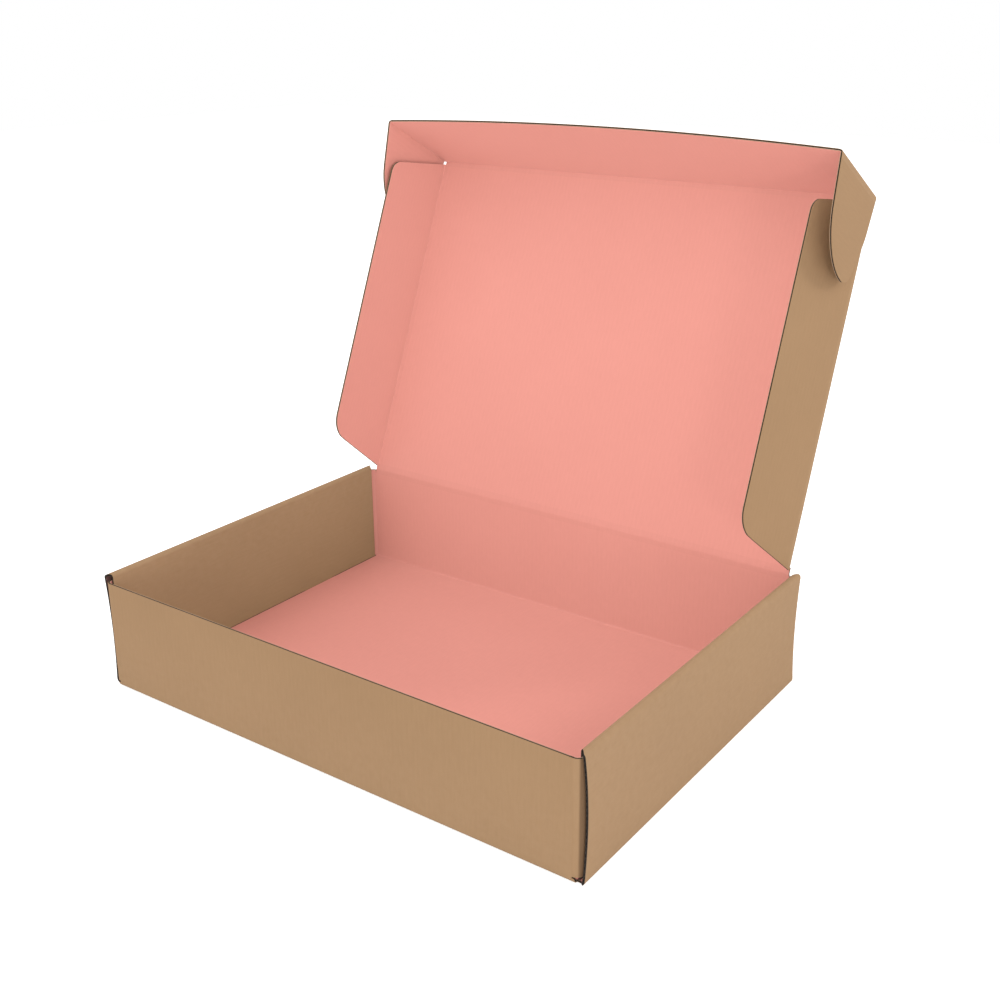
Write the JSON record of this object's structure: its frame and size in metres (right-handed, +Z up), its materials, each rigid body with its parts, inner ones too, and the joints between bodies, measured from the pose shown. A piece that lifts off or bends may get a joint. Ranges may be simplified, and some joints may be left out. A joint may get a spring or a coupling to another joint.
{
  "type": "corrugated mailer box",
  "caption": "Open corrugated mailer box: a shallow tray with rolled double side walls and a hinged lid with side flaps and an eared tuck flap.",
  "frame": {"origin": "middle of the tray's underside, on the table", "axes": "+X along the front wall to the right, +Y from the front wall to the lid's crease on the back wall, +Z up"},
  "size_m": [0.299, 0.2871, 0.2784],
  "materials": {
    "kraft_board": "matte"
  },
  "bodies": {
    "tray": {"tray": "kraft_board"},
    "lid": {"lid_panel": "kraft_board"},
    "tuck": {"tuck_flap": "kraft_board"},
    "right_flap": {"right_side_flap": "kraft_board"},
    "left_flap": {"left_side_flap": "kraft_board"},
    "right_ear": {"right_ear": "kraft_board"},
    "left_ear": {"left_ear": "kraft_board"}
  },
  "joints": [
    {"name": "lid_crease", "type": "hinge", "parent": "tray", "child": "lid", "pos_m": [0, 0.1043, 0.062], "axis": [1, 0, 0], "range_deg": [-67.5, 112.5]},
    {"name": "tuck_crease", "type": "hinge", "parent": "lid", "child": "tuck", "pos_m": [0, 0.1816, 0.24862], "axis": [1, 0, 0], "range_deg": [-12, 18]},
    {"name": "right_flap_crease", "type": "hinge", "parent": "lid", "child": "right_flap", "pos_m": [0.14151, 0.10351, 0.06233], "axis": [0, 0.3827, 0.9239], "range_deg": [-71.5, 13.5]},
    {"name": "left_flap_crease", "type": "hinge", "parent": "lid", "child": "left_flap", "pos_m": [-0.14151, 0.10351, 0.06233], "axis": [0, -0.3827, -0.9239], "range_deg": [-83.5, 1.5]},
    {"name": "right_ear_crease", "type": "hinge", "parent": "tuck", "child": "right_ear", "pos_m": [0.14361, 0.1816, 0.24862], "axis": [0, 0.8763, -0.4818], "range_deg": [-90, 0]},
    {"name": "left_ear_crease", "type": "hinge", "parent": "tuck", "child": "left_ear", "pos_m": [-0.14361, 0.1816, 0.24862], "axis": [0, -0.8763, 0.4818], "range_deg": [-90, 0]}
  ],
  "couplings": [
    {"joint": "tuck_crease", "follows": "lid_crease", "ratio": 0.13}
  ]
}
